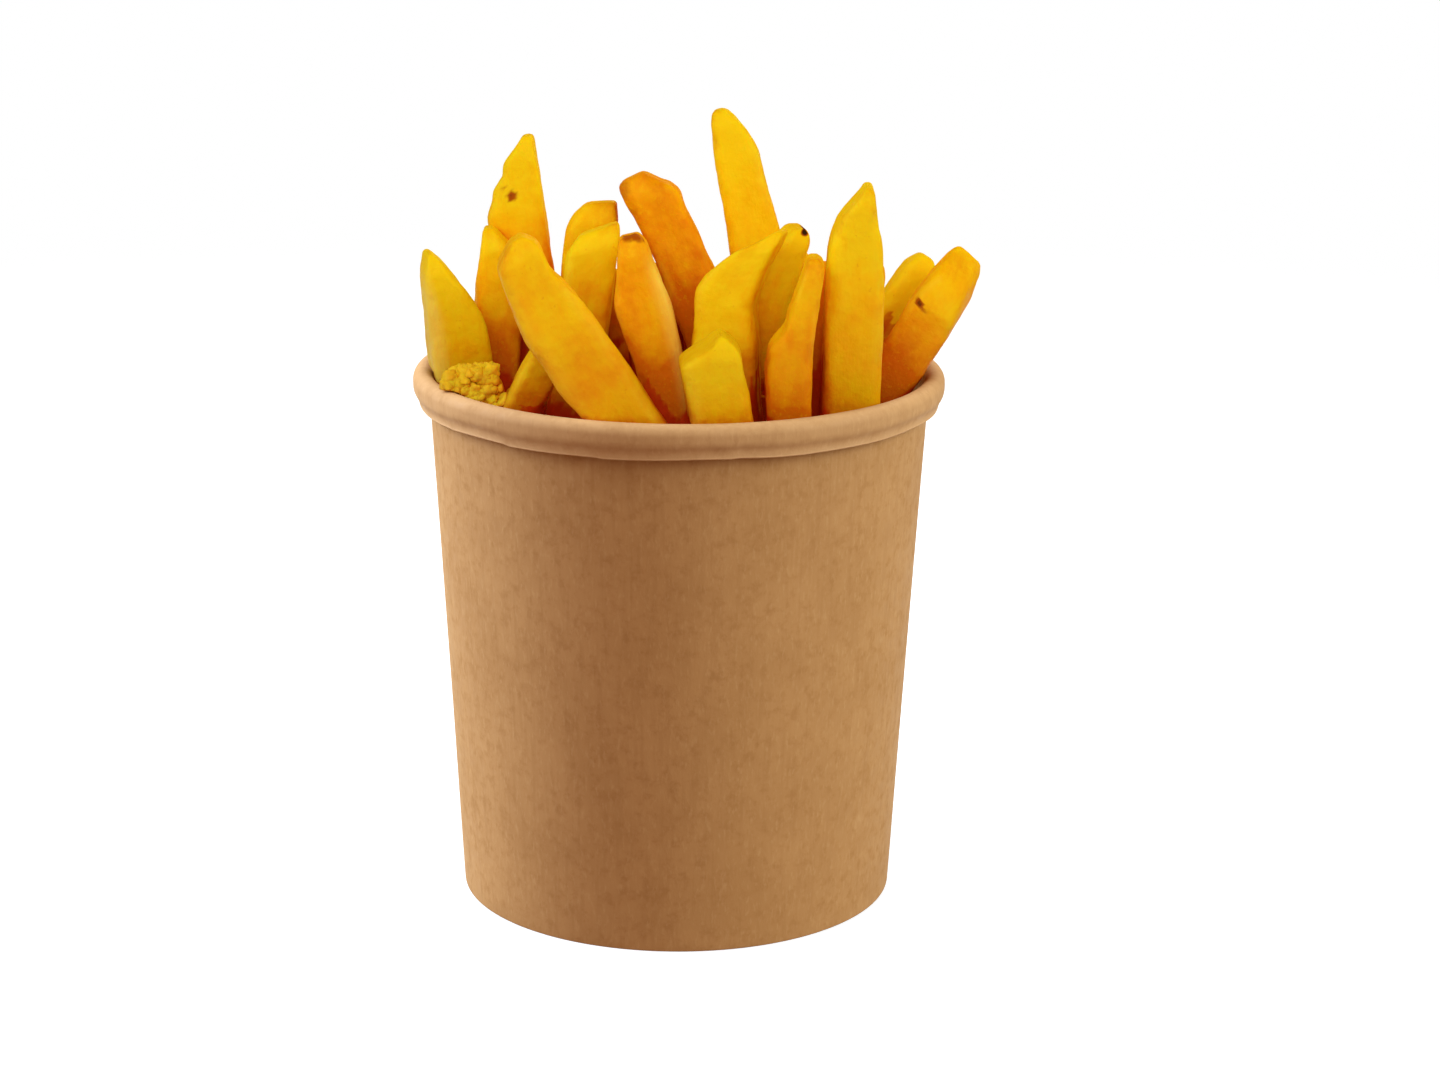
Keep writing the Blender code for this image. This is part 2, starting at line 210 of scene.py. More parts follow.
FRONT_FRIES = (
    Fry(
        (-40.2, -5.3), 121.9, (-0.04, -0.05), 66,
        ((0, -5.0), (4, -6.0), (14, -5.9), (22, -5.2)),
        ((0, -4.0), (1, -2.6), (2.4, -1.4), (5, 0.4), (8, 2.3), (12, 4.5), (15, 5.2), (20, 5.7)),
        9.6,
        turn=-12.0,
        tone=(-0.25, 0.58),
        pale=(1.0, 0.0),
    ),
    Fry(
        (-27.2, 12.3), 139.4, (-0.12, 0.04), 92,
        ((0, 2.6), (1.2, 1.8), (2.6, 0.4), (4.4, -1.3), (7.6, -2.0), (8.6, -3.8), (12.4, -4.6), (13.4, -5.5)),
        ((0, 4.7), (1, 5.0), (10, 5.1), (25, 5.4)),
        9.0,
        tone=(-0.15, 0.56),
        spots=(Spot(10.2, -0.6, 1.0, 0.8), Spot(8.8, -1.8, 0.7, 0.3)),
    ),
    Fry(
        (-33.9, 3.7), 124.0, (0.06, 0.05), 70,
        ((0, -3.7), (4, -4.2), (12, -4.5), (20, -4.7)),
        ((0, -1.9), (1.5, 0.0), (4, 2.6), (9, 4.5)),
        9.0,
        tone=(0.26, 0.55),
    ),
    Fry(
        (-9.1, -37.7), 130.4, (-0.61, -0.04), 58,
        ((0, -1.4), (1.3, -3.9), (2.5, -5.3), (4.7, -5.9), (9, -6.1), (17, -6.7), (25, -6.1), (33, -5.1)),
        ((0, 0.4), (0.9, 2.0), (2.7, 2.9), (8, 3.0), (10.2, 3.8), (14.7, 5.2), (19, 5.9), (26, 6.7)),
        9.4,
        bow=-2.4,
        turn=-6.0,
        tone=(0.30, 0.44),
        pale=(0.06, 0.0),
    ),
    Fry(
        (-36.5, -17.9), 101.9, (-0.09, 0.17), 30,
        ((0, -4.4), (1.6, -5.8), (10, -5.6)),
        ((0, 3.6), (1.8, 4.6), (5, 5.4), (8, 6.2)),
        8.4,
        turn=-8.0,
        tone=(0.25, 0.35),
        rough=1.5,
    ),
    Fry(
        (-26.0, -24.0), 108.7, (0.44, -0.19), 36,
        ((0, -2.4), (3, -3.1), (6, -3.7), (13, -3.7)),
        ((0, 2.6), (4, 3.0)),
        9.0,
        tone=(0.15, 0.40),
        pale=(0.10, 0.0),
    ),
    Fry(
        (-18.4, 3.7), 128.7, (0.09, 0.08), 84,
        ((0, -1.4), (1.0, -2.8), (2.2, -3.7), (4.5, -4.6), (8, -4.9)),
        ((0, 4.2), (4, 4.8)),
        9.4,
        (-0.15, 0),
        tone=(0.22, 0.42),
    ),
    Fry(
        (-18.9, -8.8), 125.9, (0.13, 0.07), 76,
        ((0, -2.4), (1.6, -3.5), (3.3, -4.2), (9, -4.2)),
        ((0, 4.2), (2, 4.7), (10, 4.9)),
        9.2,
        (-0.5, 0),
        tone=(0.02, 0.30),
    ),
    Fry(
        (-1.8, -21.9), 127.6, (-0.24, 0.03), 80,
        ((0, -2.2), (1.2, -2.9), (4.2, -3.7), (7.9, -4.9), (11.6, -6.2), (14, -5.9), (22, -4.8)),
        ((0, 1.0), (1.2, 2.0), (5.5, 2.6), (9.6, 3.4), (13.8, 4.1), (34, 3.6)),
        9.2,
        tone=(0.50, 0.80),
        spots=(Spot(-0.4, -0.8, 1.4, 0.5), Spot(-0.2, 0.9, 1.4, 0.55), Spot(0.6, 2.4, 1.2, 0.6)),
        pale=(0.0, 0.6),
    ),
    Fry(
        (9.7, 1.1), 134.6, (-0.49, 0.08), 90,
        ((0, -4.2), (1, -4.9), (4.4, -4.8), (9.2, -4.4), (17, -4.6), (24, -5.4), (32, -6.2)),
        ((0, 0.6), (1.6, 2.0), (3.4, 3.5), (4.8, 5.0), (6.4, 5.3), (9.8, 4.7), (22, 4.7)),
        9.6,
        tone=(0.66, 0.72),
        spots=(Spot(1.0, -4.4, 2.4, 0.30), Spot(6.0, -4.6, 1.8, 0.20)),
    ),
    Fry(
        (18.0, 14.1), 144.6, (-0.21, 0.09), 104,
        ((0, -2.6), (2, -3.3), (6.5, -3.9), (12, -4.2), (24, -4.7), (40, -5.4)),
        ((0, -0.4), (1.3, 0.9), (3.5, 2.1), (5.8, 3.3), (8.9, 4.3), (17, 4.7), (24, 5.2)),
        9.0,
        tone=(-0.05, 0.26),
    ),
    Fry(
        (13.1, -25.7), 129.2, (0.13, 0.06), 48,
        (
            (0, 0.6),
            (3, -2.0),
            (4.4, -4.0),
            (6.5, -5.2),
            (8.2, -6.2),
            (10, -7.2),
            (12.6, -7.6),
            (18, -6.2),
            (28, -5),
        ),
        ((0, 1.8), (2, 2.4), (7, 2.6), (13.7, 3.2), (21, 6.0), (33, 7.0)),
        9.4,
        bow=-6.0,
        turn=12.0,
        tone=(0.08, 0.15),
    ),
    Fry(
        (7.2, -38.2), 113.5, (-0.15, -0.10), 58,
        ((0, 1.4), (2, -1.4), (2.6, -3.4), (2.9, -5.7), (4, -5.9), (10, -5.6)),
        ((0, 2.4), (1.6, 4.0), (3.2, 4.9), (12, 5.2)),
        9.4,
        turn=-5.0,
        tone=(-0.10, 0.84),
        pale=(0.1, 0.0),
    ),
    Fry(
        (9.6, -15.0), 128.1, (0.34, 0.0), 80,
        ((0, 0.6), (1.8, -0.5), (2.8, -1.8), (6, -4.4), (12, -5.0)),
        ((0, 2.9), (1.0, 3.7), (2.6, 4.3), (5.6, 3.9), (9, 4.3), (19, 5.0)),
        9.0,
        (-0.3, 0),
        turn=-16.0,
        tone=(-0.5, 0.60),
        spots=(Spot(0.3, 2.3, 0.75, 1.0),),
    ),
    Fry(
        (19.2, -33.1), 126.5, (0.05, -0.05), 74,
        (
            (0, 1.5),
            (2.4, 0.9),
            (6, 0),
            (9.8, -1.3),
            (13, -1.7),
            (14.6, -3.1),
            (16, -4.2),
            (22, -4.6),
            (30, -3.8),
        ),
        ((0, 3.6), (0.6, 4.5), (3.4, 4.5), (6.4, 4.2), (11, 3.8), (20, 3.4), (29, 4.1)),
        8.6,
        tone=(0.28, 0.80),
    ),
    Fry(
        (30.6, -23.7), 137.4, (0.0, -0.05), 100,
        ((0, 1.6), (1.8, 0.4), (4, -1.6), (5.7, -3.0), (8.2, -3.9), (11.3, -4.7), (19, -5.2), (41, -5.6)),
        ((0, 2.9), (1, 3.3), (6.3, 4.0), (11, 4.8), (17, 5.2)),
        9.6,
        tone=(-0.06, 0.34),
    ),
    Fry(
        (34.4, 2.6), 118.9, (0.62, 0.13), 62,
        ((0, -2.0), (2, -3.3), (5, -3.7), (9, -4.2)),
        ((0, 0.2), (1, 2.2), (4, 3.6)),
        8.2,
        tone=(-0.6, -0.15),
    ),
    Fry(
        (39.0, -7.0), 118.6, (0.62, 0.0), 74,
        ((0, -2.6), (1.6, -3.8), (3, -4.0), (5, -4.4), (9, -4.7), (21, -4.5)),
        ((0, 2.2), (1.2, 3.4), (5.5, 4.6), (11, 4.9)),
        10.4,
        (0.15, 1.1),
        turn=10.0,
        tone=(0.30, 0.98),
        spots=(Spot(4.6, -3.0, 1.1, 0.85), Spot(5.4, -1.6, 0.8, 0.4)),
    ),
    Fry(
        (24.6, -12.0), 121.0, (0.0, -0.04), 76,
        ((0, -3.1), (2, -4.3)),
        ((0, 3.1), (2, 4.3)),
        9.0,
        tone=(0.5, 0.8),
    ),
)


def plain_fry(at, top, lean, length, width, depth, turn=0.0, tone=0.3):
    """A fry with straight edges, its end cut off at its own angle. The place decides the cut."""
    draw = random.Random(round(100 * at[0] + at[1]))
    half = width / 2
    start = draw.uniform(*CUT_START) * half
    reach = draw.uniform(*CUT_LENGTH)
    bend = start + (half - start) * draw.uniform(*CUT_BEND)
    long_cut = ((0, start), (reach * CUT_BEND_PLACE, bend), (reach, half))
    short_cut = ((0, SHORT_CUT_START * half), (draw.uniform(*SHORT_CUT_LENGTH), half))
    left, right = (long_cut, short_cut) if draw.random() < 0.5 else (short_cut, long_cut)
    left = tuple((run, -side) for run, side in left)
    slant = (draw.uniform(*CUT_SLANT_ACROSS), draw.uniform(*CUT_SLANT_DEEP))
    tones = (tone - PALER_TIP, tone + DEEPER_FOOT)
    return Fry(at, top, lean, length, left, right, depth, slant, turn=turn, tone=tones)


TALL_BACK_FRIES = (
    plain_fry((-4.0, 6.0), 117.0, (-0.06, 0.04), 60, 10.0, 9.2, tone=0.5),
    plain_fry((20.0, 2.0), 121.0, (0.04, 0.05), 60, 9.6, 9.2, tone=0.45),
    plain_fry((-15.0, 18.0), 117.0, (-0.06, 0.10), 60, 10.4, 9.2, tone=0.3),
    plain_fry((-30.0, 25.0), 120.0, (-0.08, 0.08), 60, 9.8, 9.4, tone=0.4),
    plain_fry((14.5, 34.0), 117.0, (0.06, 0.09), 60, 10.4, 9.4, tone=0.25),
    plain_fry((33.0, 23.0), 114.0, (0.10, 0.09), 60, 9.6, 9.2, tone=0.55),
)


# Shared helpers


def outer_radius(height):
    return FOOT_RADIUS + (SHOULDER_RADIUS - FOOT_RADIUS) * height / SHOULDER_HEIGHT


def inner_radius(height):
    return outer_radius(height) - WALL


def smooth(low, high, value):
    """0 at low, 1 at high, and an even curve between them. Low may be the larger of the two."""
    part = np.clip((value - low) / (high - low), 0.0, 1.0)
    return part * part * (3 - 2 * part)


def noise_at(points, size, seed):
    """Smooth noise from about -1 to 1 at each point, with lumps of this size."""
    shift = Vector((seed * 17.3, seed * 5.1, seed * 29.7))
    return np.array([noise.noise(Vector(point) / size + shift) for point in points])


def waves_at(turn, waves):
    """The sum of waves round the tub at each angle."""
    return sum(size * np.sin(count * turn + phase) for count, size, phase in waves)


def ring_turns(sides):
    return np.arange(sides) * math.tau / sides


def grid_faces(rows, columns, closed_rows=False):
    """Quads that join rows of points, each row closed on itself."""
    faces = []
    last = rows if closed_rows else rows - 1
    for row in range(last):
        here = row * columns
        below = (row + 1) % rows * columns
        for column in range(columns):
            beside = (column + 1) % columns
            faces.append((here + column, here + beside, below + beside, below + column))
    return faces


def tube_faces(rows, columns, start=0):
    """The sides and both ends of a closed tube of rings, whose points are numbered from start."""
    faces = [tuple(start + corner for corner in face) for face in grid_faces(rows, columns)]
    last = start + (rows - 1) * columns
    faces.append(tuple(reversed(range(start, start + columns))))
    faces.append(tuple(range(last, last + columns)))
    return faces


def add_mesh(name, points, faces):
    """A smooth mesh object from points in millimetres about the tub's axis."""
    mesh = bpy.data.meshes.new(name)
    placed = np.array(points, float) * MM + np.array((TUB_X * MM, 0.0, 0.0))
    mesh.from_pydata(placed.tolist(), [], faces)
    mesh.validate()
    mesh.shade_smooth()
    obj = bpy.data.objects.new(name, mesh)
    bpy.context.scene.collection.objects.link(obj)
    return obj


def add_colour_attribute(obj, name, values):
    """Three numbers at each point of the mesh, for its material to read."""
    attribute = obj.data.attributes.new(name, "FLOAT_COLOR", "POINT")
    rgba = np.ones((len(values), 4), np.float32)
    rgba[:, :3] = values
    attribute.data.foreach_set("color", rgba.ravel())


def finish_piece(obj, material, node):
    """Gives a piece its material, hangs it under the root and hides the node of the frame it stands for."""
    obj.data.materials.append(material)
    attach(obj, "root")
    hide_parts(node)


def finish_potato(obj, material, cooked, grain):
    """Writes how a piece of potato is cooked and where its grain runs, which its material reads."""
    add_colour_attribute(obj, "cooked", cooked)
    attribute = obj.data.attributes.new("grain", "FLOAT_VECTOR", "POINT")
    attribute.data.foreach_set("vector", np.asarray(grain, np.float32).ravel())
    finish_piece(obj, material, "fries")


# Materials


class Shader:
    """Adds nodes to a material, one short call for each."""

    def __init__(self, name):
        self.material = bpy.data.materials.new(name)
        self.material.use_nodes = True
        self.tree = self.material.node_tree
        self.surface = self.tree.nodes["Principled BSDF"]

    def link(self, source, target):
        if isinstance(source, (int, float)):
            target.default_value = source
        elif isinstance(source, tuple):
            target.default_value = (*source, 1.0) if len(source) == 3 else source
        else:
            self.tree.links.new(source, target)

    def node(self, kind, **settings):
        node = self.tree.nodes.new(kind)
        for key, value in settings.items():
            setattr(node, key, value)
        return node

    def math(self, operation, first, second, clamp=False):
        node = self.node("ShaderNodeMath", operation=operation, use_clamp=clamp)
        self.link(first, node.inputs[0])
        self.link(second, node.inputs[1])
        return node.outputs[0]

    def mix(self, factor, first, second, blend="MIX"):
        node = self.node("ShaderNodeMix", data_type="RGBA", blend_type=blend)
        self.link(factor, node.inputs["Factor"])
        self.link(first, node.inputs["A"])
        self.link(second, node.inputs["B"])
        return node.outputs["Result"]

    def noise(self, coordinates, scale, detail, roughness, stretch=(1, 1, 1)):
        mapping = self.node("ShaderNodeMapping")
        mapping.inputs["Scale"].default_value = stretch
        self.link(coordinates, mapping.inputs["Vector"])
        node = self.node("ShaderNodeTexNoise")
        node.inputs["Scale"].default_value = scale
        node.inputs["Detail"].default_value = detail
        node.inputs["Roughness"].default_value = roughness
        self.link(mapping.outputs[0], node.inputs["Vector"])
        return node.outputs["Fac"]

    def range(self, value, low, high, out_low=0.0, out_high=1.0):
        node = self.node("ShaderNodeMapRange", interpolation_type="SMOOTHSTEP")
        self.link(value, node.inputs["Value"])
        node.inputs["From Min"].default_value = low
        node.inputs["From Max"].default_value = high
        node.inputs["To Min"].default_value = out_low
        node.inputs["To Max"].default_value = out_high
        return node.outputs["Result"]

    def ramp(self, value, stops):
        node = self.node("ShaderNodeValToRGB")
        elements = node.color_ramp.elements
        while len(elements) < len(stops):
            elements.new(0.5)
        for element, (place, colour) in zip(elements, stops):
            element.position = place
            element.color = (*colour, 1.0)
        self.link(value, node.inputs["Fac"])
        return node.outputs["Color"]

    def attribute(self, name):
        node = self.node("ShaderNodeAttribute", attribute_name=name)
        split = self.node("ShaderNodeSeparateColor")
        self.link(node.outputs["Color"], split.inputs["Color"])
        return split.outputs["Red"], split.outputs["Green"], split.outputs["Blue"]

    def bump(self, height, distance, strength, below=None):
        node = self.node("ShaderNodeBump")
        node.inputs["Strength"].default_value = strength
        node.inputs["Distance"].default_value = distance
        self.link(height, node.inputs["Height"])
        if below is not None:
            self.link(below, node.inputs["Normal"])
        return node.outputs["Normal"]


# The skin's own colours, from pale yellow to deep orange
SKIN_TONES = (
    (0.0, (0.91, 0.68, 0.006)),
    (0.3, (0.90, 0.55, 0.001)),
    (0.6, (0.88, 0.39, 0.0)),
    (1.0, (0.75, 0.18, 0.0)),
)
# What lies over them
FINE_SPECKLE = (0.95, 0.70, 0.0)
# Paler flesh, and painted highlight where a side is lit.
PALE_FLESH_AND_HIGHLIGHT = (0.97, 0.82, 0.26)
BROWN_CRUST = (0.64, 0.19, 0.0)
BROWN_SPECK = (0.72, 0.27, 0.0)
# Painted shade: the fries are multiplied by this colour towards the rim.
RIM_PAINTED_SHADE = (0.74, 0.68, 0.5)
# Painted shade: dark maroon deep in the gaps of the heap.
GAP_PAINTED_SHADE = (0.50, 0.02, 0.0)
SCORCHED = (0.40, 0.085, 0.0)
BURNT = (0.035, 0.010, 0.003)
# How deep light goes into potato: share, reach of red, green and blue, and metres
SCATTER_SHARE = 0.25
SCATTER_REACH = (1.0, 0.35, 0.03)
SCATTER_DEPTH = 0.0025
# How much each pattern warms the tone, and how much painted shade warms it where a point is shut in
PATCH_WARMTH = 0.85
BLOTCH_WARMTH = 0.35
STREAK_WARMTH = 0.40
PACKED_SHADE_WARMTH = 0.50


def potato_material():
    """Reads from the mesh where along its fry each point lies, how it is cooked, how pale it is, and how
    packed in and how low it is, which it paints as shade.
    """
    s = Shader("fried_potato_skin")
    place = s.node("ShaderNodeAttribute", attribute_name="grain").outputs["Vector"]
    tone, brown, spot = s.attribute("cooked")
    packed, pale, low = s.attribute("shade_and_pale")
    patches = s.noise(place, 150.0, 3.0, 0.55)
    blotches = s.noise(place, 420.0, 3.0, 0.6)
    speckle = s.noise(place, 1500.0, 2.0, 0.6)
    specks = s.noise(place, 900.0, 3.0, 0.7)
    streaks = s.noise(place, 520.0, 3.0, 0.6, (1.0, 1.0, 0.14))
    fibres = s.noise(place, 1900.0, 2.0, 0.6, (1.0, 1.0, 0.30))
    swellings = s.noise(place, 560.0, 4.0, 0.62)

    warmth = tone
    for pattern, weight in ((patches, PATCH_WARMTH), (blotches, BLOTCH_WARMTH), (streaks, STREAK_WARMTH)):
        warmth = s.math("ADD", warmth, s.math("MULTIPLY", s.math("SUBTRACT", pattern, 0.5), weight))
    # Painted shade: where a point is shut in by its neighbours, its tone warms.
    warmth = s.math("ADD", warmth, s.range(packed, 0.40, 0.90, 0.0, PACKED_SHADE_WARMTH), clamp=True)
    flesh = s.ramp(warmth, SKIN_TONES)
    flesh = s.mix(s.range(speckle, 0.56, 0.75, 0.0, 0.22), flesh, FINE_SPECKLE)
    # Pale sides: partly paler flesh, partly painted highlight on a lit side.
    flesh = s.mix(s.math("MULTIPLY", pale, s.range(streaks, 0.25, 0.7, 1.0, 0.6)), flesh, PALE_FLESH_AND_HIGHLIGHT)
    crust = s.math("MULTIPLY", brown, s.range(blotches, 0.35, 0.62, 0.2, 1.0), clamp=True)
    flesh = s.mix(crust, flesh, BROWN_CRUST)
    flesh = s.mix(s.range(specks, 0.64, 0.74, 0.0, 0.4), flesh, BROWN_SPECK)
    # Painted shade: darker towards the rim.
    flesh = s.mix(low, flesh, RIM_PAINTED_SHADE, "MULTIPLY")
    # Painted shade: deep in the gaps the colour goes to dark maroon.
    flesh = s.mix(s.range(packed, 0.88, 1.0, 0.0, 0.95), flesh, GAP_PAINTED_SHADE)
    flesh = s.mix(s.range(spot, 0.0, 0.55), flesh, SCORCHED)
    colour = s.mix(s.range(spot, 0.6, 1.0), flesh, BURNT)
    s.link(colour, s.surface.inputs["Base Color"])
    s.link(s.range(blotches, 0.3, 0.7, 0.50, 0.70), s.surface.inputs["Roughness"])
    s.surface.inputs["Subsurface Weight"].default_value = SCATTER_SHARE
    s.surface.inputs["Subsurface Radius"].default_value = SCATTER_REACH
    s.surface.inputs["Subsurface Scale"].default_value = SCATTER_DEPTH
    s.surface.inputs["Specular IOR Level"].default_value = 0.14
    blisters = s.bump(swellings, 0.0006, 0.45)
    ridges = s.bump(streaks, 0.00030, 0.45, blisters)
    grain = s.bump(fibres, 0.00007, 0.5, ridges)
    s.link(grain, s.surface.inputs["Normal"])
    return s.material


KRAFT = (0.475, 0.310, 0.131)
KRAFT_DARK = (0.365, 0.217, 0.077)
KRAFT_LIGHT = (0.57, 0.42, 0.21)
KRAFT_PALER_AND_LIT = (0.72, 0.56, 0.34)


def kraft_material(name, shade):
    """Brown paper: soft clouds, fine mottle and faint upright fibres, paler at its cut lip and over the roll,
    with painted highlight on the lip and along the rim's top.
    """
    s = Shader(name)
    place = s.node("ShaderNodeTexCoord").outputs["Object"]
    paler_and_lit, _, _ = s.attribute("paler_and_lit")
    clouds = s.noise(place, 70.0, 4.0, 0.6)
    mottle = s.noise(place, 430.0, 4.0, 0.65)
    fleck = s.noise(place, 1500.0, 2.0, 0.6, (1.0, 1.0, 0.35))
    upright = s.noise(place, 900.0, 2.0, 0.5, (1.0, 1.0, 0.05))
    papers = (KRAFT, KRAFT_DARK, KRAFT_LIGHT, KRAFT_PALER_AND_LIT)
    base, dark, light, pale = (tuple(channel * shade for channel in paper) for paper in papers)
    colour = s.mix(s.range(clouds, 0.35, 0.65, 0.0, 0.35), base, dark)
    colour = s.mix(s.range(mottle, 0.46, 0.74, 0.0, 0.60), colour, dark)
    colour = s.mix(s.range(upright, 0.45, 0.75, 0.0, 0.30), colour, dark)
    colour = s.mix(s.range(fleck, 0.50, 0.80, 0.0, 0.35), colour, light)
    # Paler at the cut lip and over the roll, and painted highlight on the lip and the rim's top.
    colour = s.mix(paler_and_lit, colour, pale)
    s.link(colour, s.surface.inputs["Base Color"])
    s.link(s.range(mottle, 0.3, 0.7, 0.62, 0.80), s.surface.inputs["Roughness"])
    s.surface.inputs["Specular IOR Level"].default_value = 0.3
    pulp = s.bump(mottle, 0.00012, 0.5)
    fibres = s.bump(fleck, 0.00005, 0.6, pulp)
    s.link(fibres, s.surface.inputs["Normal"])
    return s.material


# Tub


def wall_section():
    """(radius, height) of points up the outside, over the rim, down the inside and round the hem."""
    points = []

    def run(start, end, steps, first=0):
        for step in range(first, steps):
            part = step / steps
            points.append(tuple(start[i] + (end[i] - start[i]) * part for i in (0, 1)))

    def arc(centre, radius, start, end, steps):
        for step in range(steps + 1):
            angle = math.radians(start + (end - start) * step / steps)
            points.append((centre[0] + radius * math.cos(angle), centre[1] + radius * math.sin(angle)))

    fold = FOLD_RADIUS
    neck = (SHOULDER_RADIUS + NECK_STEP, SHOULDER_HEIGHT + NECK_RISE)
    groove_start = SHOULDER_RADIUS + GROOVE_STEP
    groove_end = groove_start + 2 * GROOVE_RADIUS
    lip_height = SHOULDER_HEIGHT + LIP_FOLD
    arc((FOOT_RADIUS - fold, fold), fold, -90, 0, 4)
    run((outer_radius(2 * fold), 2 * fold), neck, 44)
    run(neck, (groove_start, GROOVE_TOP), 4)
    arc((groove_start + GROOVE_RADIUS, GROOVE_TOP), GROOVE_RADIUS, 180, 0, 6)
    run((groove_end, GROOVE_TOP), (LIP_RADIUS - 2 * LIP_FOLD, lip_height), 3, first=1)
    arc((LIP_RADIUS - LIP_FOLD, lip_height), LIP_FOLD, -180, 45, 8)
    arc((RIM_RADIUS - BULGE_RADIUS, SHOULDER_HEIGHT + BULGE_RISE + BULGE_RADIUS), BULGE_RADIUS, -38, 0, 5)
    arc((RIM_RADIUS - ROLL_RADIUS, RIM_TOP - ROLL_RADIUS), ROLL_RADIUS, 0, 90, 12)
    inner = RIM_RADIUS - ROLL_RADIUS - inner_radius(SHOULDER_HEIGHT)
    arc((RIM_RADIUS - ROLL_RADIUS, RIM_TOP - inner), inner, 99, 180, 8)
    run((inner_radius(INSIDE_TOP), INSIDE_TOP), (inner_radius(HEM_TOP), HEM_TOP), 30)
    arc((HEM_RADIUS + fold, HEM_TOP - fold), fold, 90, 180, 3)
    run((HEM_RADIUS, HEM_TOP - 1.0), (HEM_RADIUS, HEM_BOTTOM), 6)
    arc((HEM_RADIUS + fold, fold), fold, 180, 270, 3)
    return np.array(points)


def paper_edge(past):
    """1 just past the edge of a layer of paper, fading out on the way round the tub."""
    return smooth(0.0, SEAM_EDGE, past % 360) * (1 - smooth(*SEAM_FADE, past % 360))


def lip_creases(bearing):
    """How far up or down the creases take the lip."""
    creases = np.zeros(len(bearing))
    for crease, depth, width in CREASES:
        past = (bearing - crease + 180) % 360 - 180
        creases += depth * smooth(*CREASE_EDGE, past) * np.exp(-np.maximum(past, 0) / width)
    return creases


def make_wall():
    section = wall_section()
    turn = ring_turns(WALL_COLUMNS)
    bearing = np.degrees(turn)
    radius = np.repeat(section[:, 0:1], WALL_COLUMNS, 1)
    height = np.repeat(section[:, 1:2], WALL_COLUMNS, 1)
    outside = np.zeros((len(section), 1))
    outside[: int(np.argmax(section[:, 1])) + 1] = 1.0

    # The lap seam: outside, the upper layer ends in a step. Inside, the lower one does.
    on_wall = smooth(*SEAM_FOOT, height) * (1 - smooth(*SEAM_HEAD, height))
    on_inside = smooth(*SEAM_FOOT_INSIDE, height) * (1 - smooth(*SEAM_HEAD_INSIDE, height))
    radius = radius + SEAM_STEP * paper_edge(bearing - SEAM_BEARING) * outside * on_wall
    under = SEAM_STEP_INSIDE * paper_edge(SEAM_BEARING + SEAM_LAP - bearing)
    radius = radius - under * (1 - outside) * on_inside

    # The wall is not quite round, and the rolled rim waves a little and is creased in places.
    free = smooth(*WAVES_START, height) * (1 - smooth(*WAVES_CALM, height) * 0.5)
    radius = radius + waves_at(turn, WALL_WAVES) * free
    on_lip = smooth(SHOULDER_RADIUS + 0.6, RIM_RADIUS - 0.4, radius)
    on_lip = on_lip * (1 - smooth(SHOULDER_HEIGHT + 1.0, RIM_TOP - 1.0, height))
    creases = lip_creases(bearing)
    height = height + (creases + waves_at(turn, LIP_WAVES)) * on_lip
    radius = radius - CREASE_PULL * np.abs(creases) * on_lip

    points = np.stack([radius * np.sin(turn), -radius * np.cos(turn), height], -1).reshape(-1, 3)
    wall = add_mesh("kraft_tub", points, grid_faces(len(section), WALL_COLUMNS, closed_rows=True))
    # Paler at the cut lip and over the roll, with painted highlight on the lip and along the top of the rim.
    at_lip = outside * smooth(SHOULDER_HEIGHT + 0.7, SHOULDER_HEIGHT + 0.25, section[:, 1:2])
    at_lip = at_lip * smooth(SHOULDER_RADIUS + 1.0, SHOULDER_RADIUS + 1.8, section[:, 0:1])
    on_top = smooth(RIM_TOP - 0.8, RIM_TOP, section[:, 1:2])
    rolled = outside * smooth(SHOULDER_RADIUS + 1.2, RIM_RADIUS - 0.4, section[:, 0:1])
    paler_and_lit = LIP_EDGE_AND_HIGHLIGHT * at_lip + RIM_TOP_HIGHLIGHT * on_top + ROLL_PALER * rolled
    add_colour_attribute(wall, "paler_and_lit", np.repeat(paler_and_lit, WALL_COLUMNS, 1).reshape(-1, 1))
    finish_piece(wall, kraft_material("kraft_outside", 1.0), "tub_wall")
    return wall


def dress_base():
    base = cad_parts["tub_base"]
    base.data.materials.clear()
    base.data.materials.append(kraft_material("kraft_base_paper", 0.92))
    return base


# Fries


def fill_fries():
    """Short fries wherever there is still room, low in front and higher towards the back."""
    draw = random.Random(FILL_SEED)
    standing = [fry.at for fry in FRONT_FRIES + TALL_BACK_FRIES]
    fries = []
    for _ in range(FILL_TRIES):
        reach = FILL_REACH * math.sqrt(draw.random())
        bearing = draw.uniform(0, math.tau)
        x = reach * math.cos(bearing)
        y = reach * math.sin(bearing)
        if min(math.dist((x, y), place) for place in standing) < FILL_SPACING:
            continue
        standing.append((x, y))
        behind = max(0.0, min(1.0, (y - FILL_FRONT) / (FILL_BACK - FILL_FRONT)))
        top = FILL_FRONT_TOP + (FILL_BACK_TOP - FILL_FRONT_TOP) * behind
        top += draw.uniform(-FILL_TOP_SPREAD, FILL_TOP_SPREAD)
        lean = [
            place * FILL_OUTWARD_LEAN + draw.uniform(-FILL_LEAN_SPREAD, FILL_LEAN_SPREAD) for place in (x, y)
        ]
        size = (draw.uniform(*FILL_WIDTH), draw.uniform(*FILL_THICKNESS))
        turn = draw.uniform(-FILL_TURN, FILL_TURN)
        tone = FILL_LEAST_TONE + FILL_TONE_STEP * (len(fries) % FILL_TONES)
        fries.append(plain_fry((x, y), top, lean, FILL_LENGTH, *size, turn, tone))
    return fries


